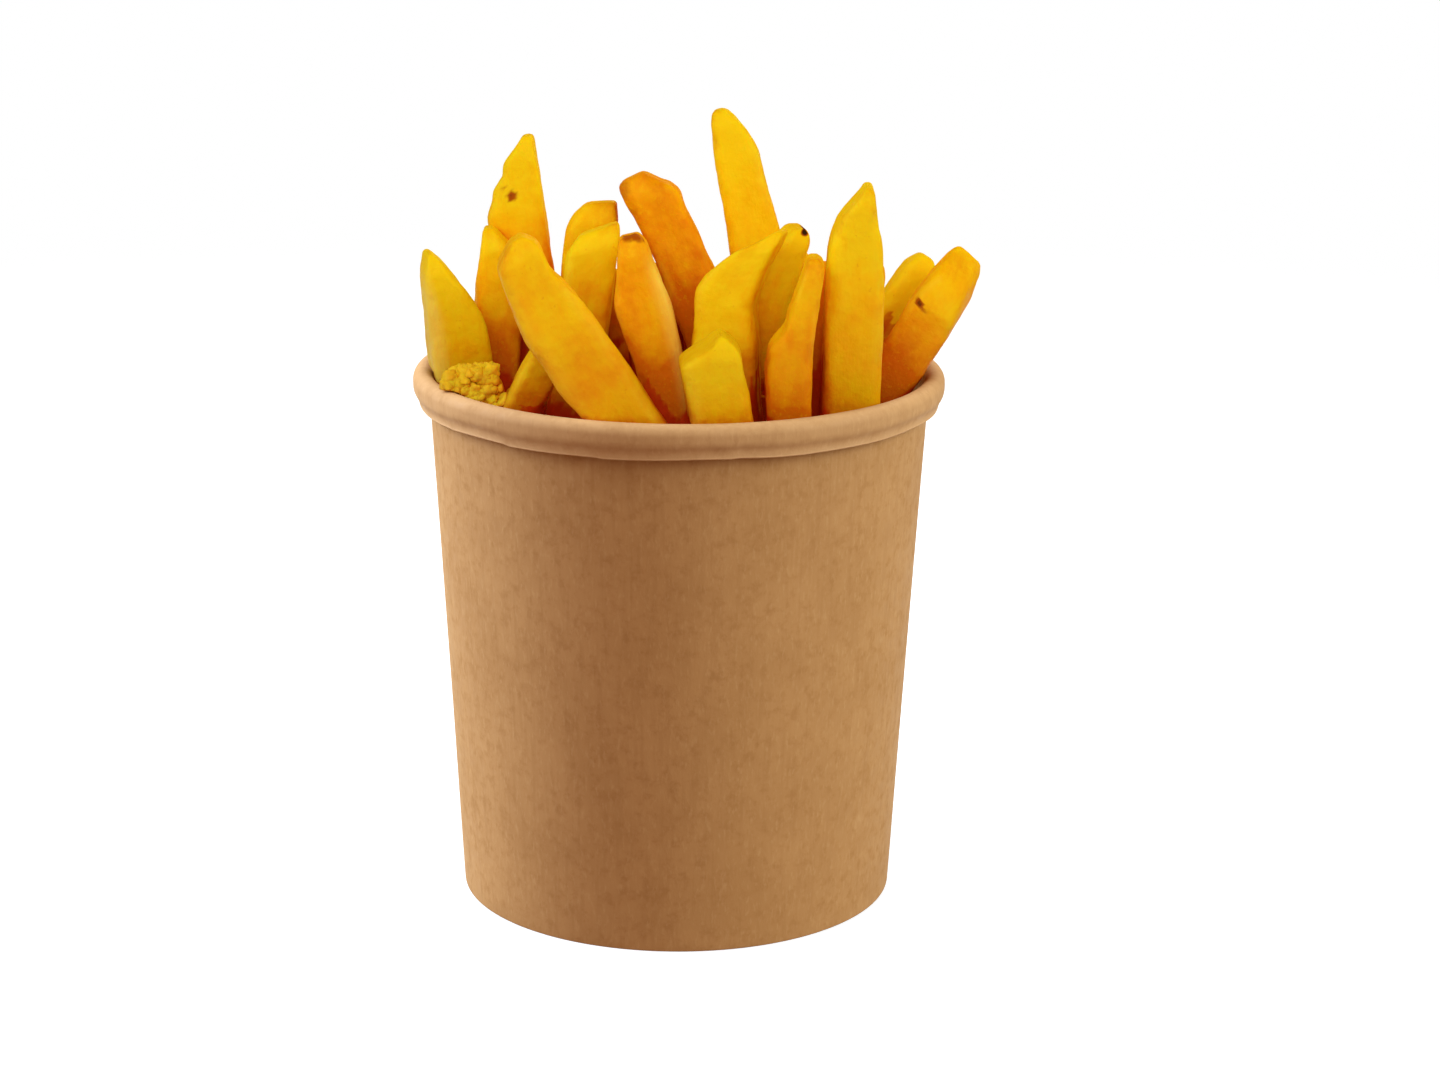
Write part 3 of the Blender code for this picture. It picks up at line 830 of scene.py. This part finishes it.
def cross_section(sides):
    """Evenly spaced points round a rounded square that reaches -1 to 1, and how near a corner each is."""
    turn = np.linspace(0, math.tau, SECTION_STEPS)
    power = 2 / SQUARENESS
    outline = [np.sign(wave) * np.abs(wave) ** power for wave in (np.cos(turn), np.sin(turn))]
    way = np.concatenate([[0.0], np.cumsum(np.hypot(*np.diff(outline)))])
    x, y = (np.interp((np.arange(sides) + 0.5) * way[-1] / sides, way, part) for part in outline)
    corner = smooth(CORNER_START, CORNER_FULL, np.minimum(np.abs(x), np.abs(y)))
    return x, y, corner


def edge_at(edge, run):
    """Distance of an edge from the middle line, with its corners a little rounded."""
    near = run + np.linspace(-EDGE_SOFTNESS, EDGE_SOFTNESS, 9)
    return float(np.mean(np.interp(near, *zip(*edge))))


def press(points):
    """Moves points in until they clear the inside of the wall."""
    reach = np.hypot(points[:, 0], points[:, 1])
    limit = inner_radius(points[:, 2]) - PRESS_CLEARANCE
    inward = np.where((reach > limit) & (points[:, 2] < RIM_TOP), limit / reach, 1.0)
    points[:, :2] *= inward[:, None]


def fry_axes(fry):
    """Tip, foot, and the directions down, across to the right and out to the front."""
    lean = np.array((*fry.lean, 1.0))
    tip = np.array((*fry.at, RIM_HEIGHT)) + lean * (fry.top - RIM_HEIGHT)
    down = -lean / np.linalg.norm(lean)
    square_across = np.cross(down, (0, 1, 0))
    square_across /= np.linalg.norm(square_across)
    square_front = np.cross(down, square_across)
    turn = math.radians(fry.turn)
    across = square_across * math.cos(turn) + square_front * math.sin(turn)
    front = square_front * math.cos(turn) - square_across * math.sin(turn)
    return tip, tip + down * fry.length, down, across, front


# Beside each point of a fry its marks are kept: millimetres from the tip, across and forward of the middle
# line, nearness to a corner, and the share of the way to the left (-1) or the right (1) edge.
RUN, SIDE, FORWARD, CORNER, SHARE = range(5)


def waver(kind, run, seed, row):
    """A slow change along the fry, of the size and length that its kind says."""
    size, length = kind
    return size * noise.noise(Vector((run / length, seed, row)))


def fry_rings(fry, seed, stations, sides):
    """Rings of points from tip to foot, and each point's marks."""
    tip, foot, down, across, front = fry_axes(fry)
    bend = (tip + foot) / 2 + across * 2 * fry.bow
    x, y, corner = cross_section(sides)
    rings = []
    marks = []
    for share in (np.arange(stations) / (stations - 1)) ** STATION_SPREAD:
        run = share * fry.length
        middle = tip * (1 - share) ** 2 + bend * 2 * share * (1 - share) + foot * share**2
        tuck = max(0.0, 1 - min(run, fry.length - run) / END_ROUNDING)
        inset = END_ROUNDING * (1 - math.sqrt(1 - tuck**2)) * END_INSET
        left = edge_at(fry.left, run) + waver(EDGE_WAVER, run, seed, 0.3)
        right = edge_at(fry.right, run) + waver(EDGE_WAVER, run, seed, 7.7)
        thinning = END_THINNING * (1 - smooth(-END_TAPER, END_TAPER, run))
        half = fry.depth / 2 * (1 - thinning) * (1 + waver(DEPTH_WAVER, run, seed, 3.9))
        sideways = (left + right) / 2 + x * max(LEAST_HALF, (right - left) / 2 - inset)
        forward = y * max(LEAST_HALF, half - inset)
        shift = (fry.slant[0] * sideways + fry.slant[1] * forward) * max(0.0, 1 - run / SLANT_LENGTH)
        twist = waver(TWIST, run, seed, 11.1)
        turned = sideways * math.cos(twist) - forward * math.sin(twist)
        forward = forward * math.cos(twist) + sideways * math.sin(twist)
        rings.append(middle + np.outer(turned, across) + np.outer(forward, front) + np.outer(shift, down))
        marks.append(np.stack([np.full(sides, run), sideways, forward, corner, x], -1))
    top = cap_rings(rings[0], marks[0], -down)[::-1]
    bottom = cap_rings(rings[-1], marks[-1], down)
    rings = [ring for ring, _ in top] + rings + [ring for ring, _ in bottom]
    marks = [mark for _, mark in top] + marks + [mark for _, mark in bottom]
    return rings, np.concatenate(marks)


def cap_rings(ring, mark, direction):
    """The cut end closes in shrinking rings, slightly dished."""
    centre = ring.mean(0)
    closing = []
    for size, dish in CAP_RINGS:
        shrunk = centre + (ring - centre) * size + direction * dish
        closing.append((shrunk, mark * (1, size, size, 0.0, size)))
    return closing


def own_place(marks, shortening=1.0):
    """Each point in its fry's own millimetres, which may be shortened along the fry to draw patterns out."""
    return marks[:, [SIDE, FORWARD, RUN]] * (1, 1, shortening)


def roughen(rings, marks, seed, rough):
    """Lumps, nibbled corners and sunken faces push each point away from the fry's middle line."""
    points = np.concatenate(rings)
    centres = np.repeat(np.array([ring.mean(0) for ring in rings]), len(rings[0]), 0)
    outward = points - centres
    length = np.linalg.norm(outward, axis=1)
    corner = marks[:, CORNER]
    push = np.zeros(len(points))
    for size, reach, shortening, own in LUMPS:
        push += size * noise_at(own_place(marks, shortening), reach, seed + own)
    push -= FACE_SINKING * (1 - corner) * smooth(-0.3, 0.5, noise_at(own_place(marks, 0.35), 7.0, seed + 20))
    push -= CORNER_NIBBLE * corner * smooth(0.05, 0.5, noise_at(own_place(marks, 0.6), 2.6, seed + 70))
    if rough > 1:
        crumbs = sum(size * np.abs(noise_at(points, reach, seed + own)) for size, reach, own in CRUMBLY_LUMPS)
        push += (rough - 1) * (crumbs - CRUMBLY_MIDDLE)
        for axis in range(3):
            points[:, axis] += CRUMBLY_SHIFT * (rough - 1) * noise_at(points, 4.0, seed + 170 + axis)
    push *= smooth(0.4, 2.5, length)
    return points + outward / np.maximum(length, 0.001)[:, None] * push[:, None]


def cooking(fry, marks, seed):
    """Tone, browning and spots: browned are edges, the end's rim and random patches."""
    run = marks[:, RUN]
    patch = noise_at(own_place(marks, 0.5), 6.0, seed + 130)
    brown = BROWN_EDGES * marks[:, CORNER] * smooth(0.0, 0.6, patch)
    brown += BROWN_TIP * np.exp(-run / BROWN_TIP_REACH) * smooth(-0.1, 0.5, patch)
    brown += BROWN_PATCHES * smooth(0.25, 0.6, patch) * fry.tone[0]
    spots = np.zeros(len(marks))
    ragged = 1 + SPOT_RAGGEDNESS * noise_at(own_place(marks), 0.9, seed + 170)
    facing = smooth(-1.5, 0.5, marks[:, FORWARD])
    for spot in fry.spots:
        away = np.hypot(run - spot.along, marks[:, SIDE] - spot.across) * ragged
        inside = 1 - smooth(spot.radius * 0.45, spot.radius * 1.15, away)
        spots = np.maximum(spots, spot.strength * inside * facing)
    # The tone deepens down the fry: partly its own colour, partly painted shade.
    tone = np.interp(run, (0, TONE_REACH), fry.tone) + TONE_PATCHES * patch
    return np.stack([tone, np.clip(brown, 0, 1), spots], -1)


def paleness(fry, marks, seed):
    """Sides named as pale, partly paler flesh and partly painted highlight on a lit side, and corners in
    places.
    """
    left, right = fry.pale
    sides = left * smooth(-0.3, -0.95, marks[:, SHARE]) + right * smooth(0.3, 0.95, marks[:, SHARE])
    sides = sides * smooth(1.0, 10.0, marks[:, RUN])
    patch = smooth(0.0, 0.5, noise_at(own_place(marks, 0.3), 4.0, seed + 200))
    return np.clip(sides + PALE_CORNERS * marks[:, CORNER] * patch, 0, 1)


# A piece of the heap: its object, how pale each of its points is, and how much painted shade darkens it
# towards the rim
Piece = namedtuple("Piece", "obj pale sinking")
GRAIN_STEP = 0.1


def add_fries(name, fries, first_seed, grid, material):
    """One mesh of many fries, with what its material reads."""
    stations, sides = grid
    points = []
    faces = []
    cooked = []
    pale = []
    grain = []
    for seed, fry in enumerate(fries, first_seed):
        rings, marks = fry_rings(fry, seed, stations, sides)
        faces.extend(tube_faces(len(rings), sides, len(points) * len(marks)))
        shape = roughen(rings, marks, seed, fry.rough)
        press(shape)
        points.append(shape)
        cooked.append(cooking(fry, marks, seed))
        pale.append(paleness(fry, marks, seed))
        grain.append(own_place(marks) * MM + (GRAIN_STEP * seed, 0, 0))
    obj = add_mesh(name, np.concatenate(points), faces)
    finish_potato(obj, material, np.concatenate(cooked), np.concatenate(grain))
    return Piece(obj, np.concatenate(pale), 1.0)


# A fry in front has broken off and is crumbling: lumps of potato cling all over its end.
CRUMBLING = FRONT_FRIES[4]
CRUMBS = 100
CRUMBS_ON_TOP = 0.4
CRUMB_RADIUS = (0.5, 1.5)
CRUMB_REACH = 8.0
CRUMB_GRID = (9, 14)
CRUMB_UNEVENNESS = 0.70
CRUMB_LUMP = 0.9
CRUMB_TONES = (0.05, 0.40)
CRUMB_PALENESS = 0.18
# How much of the painted shade towards the rim the crumbs take.
CRUMB_RIM_SHADING = 0.1
CRUMB_SEED = 3


def make_crumbs(material):
    """Small uneven lumps over the front and the top of the crumbling fry."""
    draw = random.Random(CRUMB_SEED)
    tip, _, down, across, front = fry_axes(CRUMBLING)
    half = CRUMBLING.depth / 2
    rows, columns = CRUMB_GRID
    tilt = math.pi - (np.arange(rows) + 0.5) * math.pi / rows
    turn = ring_turns(columns)
    level = np.sin(tilt)[:, None]
    rises = np.repeat(np.cos(tilt), columns)
    ball = np.stack([(level * np.cos(turn)).ravel(), (level * np.sin(turn)).ravel(), rises], -1)
    points = []
    faces = []
    grain = []
    for number in range(CRUMBS):
        on_top = draw.random() < CRUMBS_ON_TOP
        run = 0.0 if on_top else draw.uniform(0.0, CRUMB_REACH)
        forward = draw.uniform(-half, half) if on_top else half
        left, right = (edge_at(edge, run) for edge in (CRUMBLING.left, CRUMBLING.right))
        middle = tip + down * run + across * draw.uniform(left, right) + front * forward
        lump = ball * draw.uniform(*CRUMB_RADIUS)
        lump *= (1 + CRUMB_UNEVENNESS * noise_at(lump, CRUMB_LUMP, number))[:, None]
        faces.extend(tube_faces(rows, columns, number * len(ball)))
        points.append(middle + lump)
        grain.append(lump * MM + (GRAIN_STEP * number, 0, 0))
    points = np.concatenate(points)
    press(points)
    crumbs = add_mesh("crumbs", points, faces)
    cooked = np.zeros((len(points), 3))
    cooked[:, 0] = np.repeat([draw.uniform(*CRUMB_TONES) for _ in range(CRUMBS)], len(ball))
    finish_potato(crumbs, material, cooked, np.concatenate(grain))
    return Piece(crumbs, np.full(len(points), CRUMB_PALENESS), CRUMB_RIM_SHADING)


# Short rays from each point tell how far its neighbours shut it in, which the fries' material paints as
# shade. Lengths are in metres here.
RAYS = 36
RAY_REACH = 0.030
RAY_START = 0.0003
GRAZING = 0.12
# Between these heights in millimetres, painted shade darkens the fries towards the rim.
RIM_SHADE_TOP = 118.0
RIM_SHADE_BOTTOM = 94.0
RIM_SHADE_PACKING = 0.15


def spread_directions(count):
    """Directions spread evenly over a sphere."""
    step = math.pi * (3 - math.sqrt(5))
    height = 1 - (np.arange(count) + 0.5) * 2 / count
    level = np.sqrt(1 - height**2)
    turn = np.arange(count) * step
    return np.stack([level * np.cos(turn), level * np.sin(turn), height], -1)


def packing(obj, tree):
    """How packed in each point of the object is, from 0 in the open to 1 deep in the heap."""
    count = len(obj.data.vertices)
    directions = spread_directions(RAYS)
    rays = [Vector(direction) for direction in directions]
    normals = np.zeros(count * 3)
    obj.data.vertex_normals.foreach_get("vector", normals)
    facing = normals.reshape(-1, 3) @ directions.T
    packed = np.zeros(count)
    for number, vertex in enumerate(obj.data.vertices):
        start = vertex.co + vertex.normal * RAY_START
        blocked = 0.0
        total = 0.0
        for ray in np.flatnonzero(facing[number] > GRAZING):
            weight = facing[number, ray]
            total += weight
            if tree.ray_cast(start, rays[ray], RAY_REACH)[0] is not None:
                blocked += weight
        packed[number] = blocked / total
    return packed


def add_shade_and_pale(pieces, neighbours):
    """Writes for each point how packed in it is and how low in the heap, which the material paints as shade,
    and how pale it is.
    """
    corners = []
    faces = []
    for obj in neighbours:
        start = len(corners)
        corners.extend(vertex.co for vertex in obj.data.vertices)
        faces.extend([start + corner for corner in face.vertices] for face in obj.data.polygons)
    tree = BVHTree.FromPolygons(corners, faces)
    for obj, pale, rim_shading in pieces:
        packed = packing(obj, tree)
        height = np.array([vertex.co.z for vertex in obj.data.vertices]) / MM
        low = rim_shading * np.clip((RIM_SHADE_TOP - height) / (RIM_SHADE_TOP - RIM_SHADE_BOTTOM), 0.0, 1.0)
        packed = np.clip(packed + RIM_SHADE_PACKING * low**2 * smooth(0.3, 0.6, packed), 0, 1)
        add_colour_attribute(obj, "shade_and_pale", np.stack([packed, pale, low], -1))


# The core: its rings up the side, and those that close it below and above as shares of its radius
CORE_BOTTOM = 9.2
CORE_TOP = 79.0
CORE_INSET = 1.2
CORE_COLUMNS = 96
CORE_ROWS = 40
CORE_BOTTOM_RINGS = (0.03, 0.35, 0.7)
CORE_TOP_RINGS = (0.9, 0.75, 0.6, 0.45, 0.3, 0.15, 0.03)
CORE_SIDE_LUMPS = (0.8, 9.0)
CORE_TOP_LUMPS = (2.0, 8.0)
CORE_COOKED = (0.9, 0.3, 0.0)
# The core is painted as fully shut in and low, in deep shade.
CORE_PAINTED_SHADE = (1.0, 0.0, 1.0)


def make_core(material):
    """A lumpy block of packed potato, hidden under the fries and painted in deep shade."""
    rings = [((inner_radius(CORE_BOTTOM) - CORE_INSET) * share, CORE_BOTTOM) for share in CORE_BOTTOM_RINGS]
    for row in range(CORE_ROWS + 1):
        height = CORE_BOTTOM + (CORE_TOP - CORE_BOTTOM) * row / CORE_ROWS
        rings.append((inner_radius(height) - CORE_INSET, height))
    rings += [((inner_radius(CORE_TOP) - CORE_INSET) * share, CORE_TOP) for share in CORE_TOP_RINGS]
    turn = ring_turns(CORE_COLUMNS)
    radius, height = (np.repeat(part, CORE_COLUMNS) for part in zip(*rings))
    around = np.tile(turn, len(rings))
    points = np.stack([radius * np.sin(around), -radius * np.cos(around), height], -1)
    depth, size = CORE_SIDE_LUMPS
    inward = depth * (noise_at(points, size, 3) - 1)
    reach = np.hypot(points[:, 0], points[:, 1])
    points[:, :2] *= (1 + inward * smooth(3, 12, reach) / np.maximum(reach, 1))[:, None]
    rise, size = CORE_TOP_LUMPS
    points[:, 2] += rise * noise_at(points, size, 5) * smooth(CORE_TOP - 1, CORE_TOP, points[:, 2])
    core = add_mesh("packed_core", points, tube_faces(len(rings), CORE_COLUMNS))
    add_colour_attribute(core, "shade_and_pale", np.tile(CORE_PAINTED_SHADE, (len(points), 1)))
    finish_potato(core, material, np.tile(CORE_COOKED, (len(points), 1)), points * MM)
    return core


# Stage, lights and camera


FLOOR_RADIUS = 0.7
FLOOR_SIDES = 96
FLOOR_CLEAR = 0.25
FLOOR_GONE = 0.68
FLOOR_COLOURS = ((0.62, 0.72, 0.78), (0.60, 0.70, 0.76))
FLOOR_GLOW = (0.66, 0.74, 0.80, 1.0)
FLOOR_GLOW_STRENGTH = 0.75


def floor_material():
    """Pale and matt, fading out into the white surroundings before its edge."""
    s = Shader("pale_floor")
    place = s.node("ShaderNodeTexCoord").outputs["Object"]
    faint = s.noise(place, 40.0, 3.0, 0.5)
    s.link(s.mix(faint, *FLOOR_COLOURS), s.surface.inputs["Base Color"])
    s.surface.inputs["Roughness"].default_value = 0.8
    s.surface.inputs["Emission Color"].default_value = FLOOR_GLOW
    s.surface.inputs["Emission Strength"].default_value = FLOOR_GLOW_STRENGTH
    reach = s.node("ShaderNodeVectorMath", operation="LENGTH")
    s.link(place, reach.inputs[0])
    solid = s.range(reach.outputs["Value"], FLOOR_CLEAR, FLOOR_GONE, 1.0, 0.0)
    s.link(solid, s.surface.inputs["Alpha"])
    return s.material


def make_floor():
    mesh = bpy.data.meshes.new("floor")
    turns = ring_turns(FLOOR_SIDES)
    corners = [(FLOOR_RADIUS * math.cos(turn), FLOOR_RADIUS * math.sin(turn), 0.0) for turn in turns]
    mesh.from_pydata(corners, [], [tuple(range(FLOOR_SIDES))])
    floor = bpy.data.objects.new("floor", mesh)
    bpy.context.scene.collection.objects.link(floor)
    floor.data.materials.append(floor_material())
    floor.visible_diffuse = False
    return floor


# Soft square lights: which pieces each one lights, its bearing from the front and height in degrees, size in
# metres, power in watts and colour, whether it shows in gloss, and whether it casts shadows.
# The fries have lights of their own, as evenly lit from the front as in the photograph.
LIGHT_DISTANCE = 1.1
LIGHT_AIM = (0.0, 0.0, 0.08)
WHITE = (1.0, 1.0, 1.0)
NEAR_WHITE = (1.0, 1.0, 0.9)
FRY_LIGHT = (0.84, 1.0, 0.5)
FRY_BACK_LIGHT = (1.0, 0.97, 0.5)
FRY_FILL_LIGHT = (1.0, 0.78, 0.14)
Light = namedtuple("Light", "name lit bearing height size power colour shines shades", defaults=(True, True))
LIGHTS = (
    Light("tub_left", "tub", -105, 25, 0.7, 16.0, WHITE),
    Light("tub_front", "tub", -45, 40, 0.7, 2.0, WHITE),
    Light("tub_right", "tub", 70, 25, 0.7, 10.5, NEAR_WHITE),
    Light("tub_top", "tub", 0, 88, 0.8, 4.0, WHITE),
    Light("tub_back", "tub", 180, 50, 0.7, 3.5, WHITE),
    Light("fry_front", "fries", -12, 32, 0.8, 4.8, FRY_LIGHT),
    Light("fry_left", "fries", -85, 25, 0.8, 4.4, FRY_LIGHT),
    Light("fry_right", "fries", 52, 25, 0.8, 3.4, FRY_LIGHT),
    Light("fry_back", "fries", 175, 16, 0.8, 7.5, FRY_BACK_LIGHT, shines=False),
    Light("fry_side", "fries", 110, 20, 0.8, 4.5, FRY_BACK_LIGHT, shines=False),
    Light("fry_fill", "fries", 0, 20, 0.8, 1.7, FRY_FILL_LIGHT, shades=False),
)
ROOM_FILL = (0.385, 0.15, 0.055)


def add_light(light, receivers):
    data = bpy.data.lights.new(light.name, "AREA")
    data.shape = "SQUARE"
    data.size = light.size
    data.energy = light.power
    data.color = light.colour
    data.use_shadow = light.shades
    bearing = math.radians(light.bearing)
    height = math.radians(light.height)
    level = math.cos(height)
    away = Vector((math.sin(bearing) * level, -math.cos(bearing) * level, math.sin(height)))
    obj = bpy.data.objects.new(light.name, data)
    obj.location = Vector(LIGHT_AIM) + away * LIGHT_DISTANCE
    obj.rotation_euler = (-away).to_track_quat("-Z", "Y").to_euler()
    obj.light_linking.receiver_collection = receivers
    obj.visible_camera = False
    obj.visible_glossy = light.shines
    bpy.context.scene.collection.objects.link(obj)


def make_surroundings():
    """White to look at, with a dim warm fill as from a room."""
    world = bpy.data.worlds.new("studio")
    world.use_nodes = True
    tree = world.node_tree
    fill = tree.nodes["Background"]
    fill.inputs["Color"].default_value = (*ROOM_FILL, 1.0)
    white = tree.nodes.new("ShaderNodeBackground")
    white.inputs["Color"].default_value = (*WHITE, 1.0)
    path = tree.nodes.new("ShaderNodeLightPath")
    choose = tree.nodes.new("ShaderNodeMixShader")
    tree.links.new(path.outputs["Is Camera Ray"], choose.inputs[0])
    tree.links.new(fill.outputs[0], choose.inputs[1])
    tree.links.new(white.outputs[0], choose.inputs[2])
    tree.links.new(choose.outputs[0], tree.nodes["World Output"].inputs["Surface"])
    bpy.context.scene.world = world
    bpy.context.scene.view_settings.view_transform = "Standard"


def light_scene(tub_pieces, fry_pieces):
    """Lights for the tub and the floor, and lights for the fries."""
    lit = {}
    for name, pieces in (("tub", tub_pieces), ("fries", fry_pieces)):
        lit[name] = bpy.data.collections.new("lit_" + name)
        for piece in pieces:
            lit[name].objects.link(piece)
    for light in LIGHTS:
        add_light(light, lit[light.lit])


# The camera's place in millimetres about the tub's axis, fitted to the rim and the foot in the photograph.
CAMERA_PLACE = (0.0, -608.5, 232.9)
CAMERA_FORWARD = (0.01235, 0.96436, -0.26429)
CAMERA_UP = (-0.0055, 0.26437, 0.9644)
CAMERA_LENS = 84.36
SENSOR = 36.0


def make_camera():
    data = bpy.data.cameras.new("camera")
    data.lens = CAMERA_LENS
    data.sensor_width = SENSOR
    data.clip_start = 0.01
    data.clip_end = 20.0
    camera = bpy.data.objects.new("camera", data)
    forward = Vector(CAMERA_FORWARD).normalized()
    right = forward.cross(Vector(CAMERA_UP)).normalized()
    up = right.cross(forward)
    turn = Matrix((right, up, -forward)).transposed().to_4x4()
    place = Vector(CAMERA_PLACE) * MM + Vector((TUB_X * MM, 0, 0))
    camera.matrix_world = Matrix.Translation(place) @ turn
    bpy.context.scene.collection.objects.link(camera)
    bpy.context.scene.camera = camera


make_camera()
make_surroundings()
floor = make_floor()
wall = make_wall()
base = dress_base()
potato = potato_material()
shown = add_fries("fries_shown", FRONT_FRIES, 1, FINE, potato)
behind = add_fries("fries_behind", [*TALL_BACK_FRIES, *fill_fries()], 40, COARSE, potato)
crumbs = make_crumbs(potato)
core = make_core(potato)
add_shade_and_pale((shown, behind, crumbs), (shown.obj, behind.obj, core, wall))
light_scene((wall, base, floor), (shown.obj, behind.obj, crumbs.obj, core))
